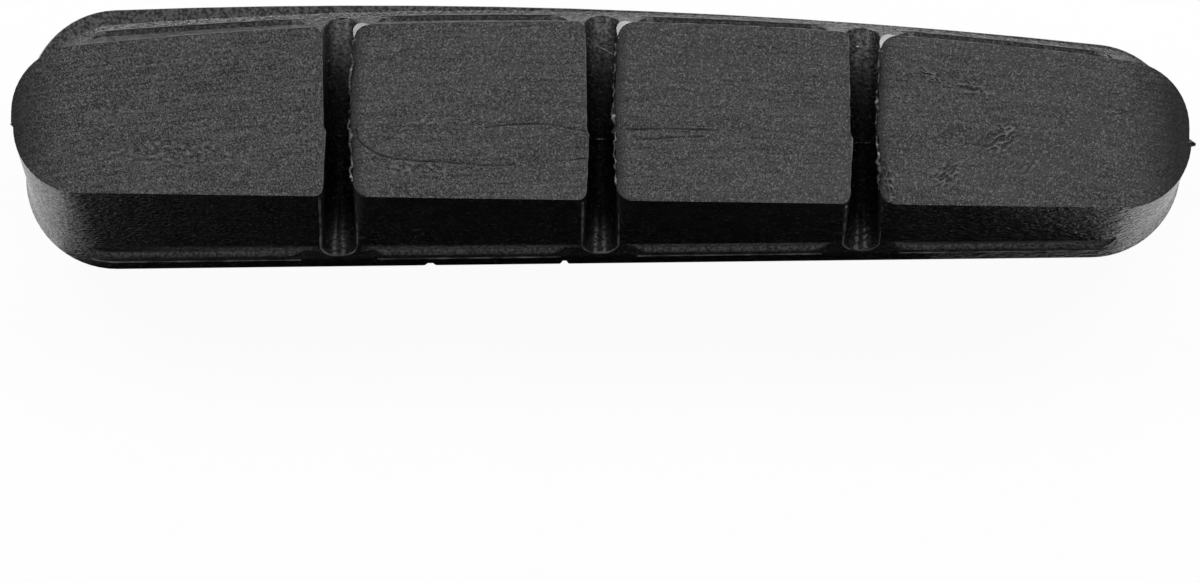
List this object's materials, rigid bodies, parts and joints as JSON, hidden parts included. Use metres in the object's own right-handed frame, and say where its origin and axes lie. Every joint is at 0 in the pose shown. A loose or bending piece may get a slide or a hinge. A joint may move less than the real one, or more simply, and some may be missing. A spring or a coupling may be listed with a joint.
{
  "type": "bicycle rim brake pad",
  "caption": "Long black rubber friction insert for a road bicycle rim brake, with cross grooves in its flat face and a rail on its back that slides into a shoe.",
  "frame": {"origin": "on the back face of the rail, under the middle of the pad's length and width", "axes": "+X along the rail towards the narrow nose, +Y across the pad towards the tyre, +Z out of the friction face"},
  "size_m": [0.055, 0.0127, 0.0095],
  "materials": {
    "friction_rubber": "moulded black rubber, satin walls and a matt cut face"
  },
  "bodies": {
    "root": {"brake_pad": "friction_rubber"}
  },
  "joints": []
}
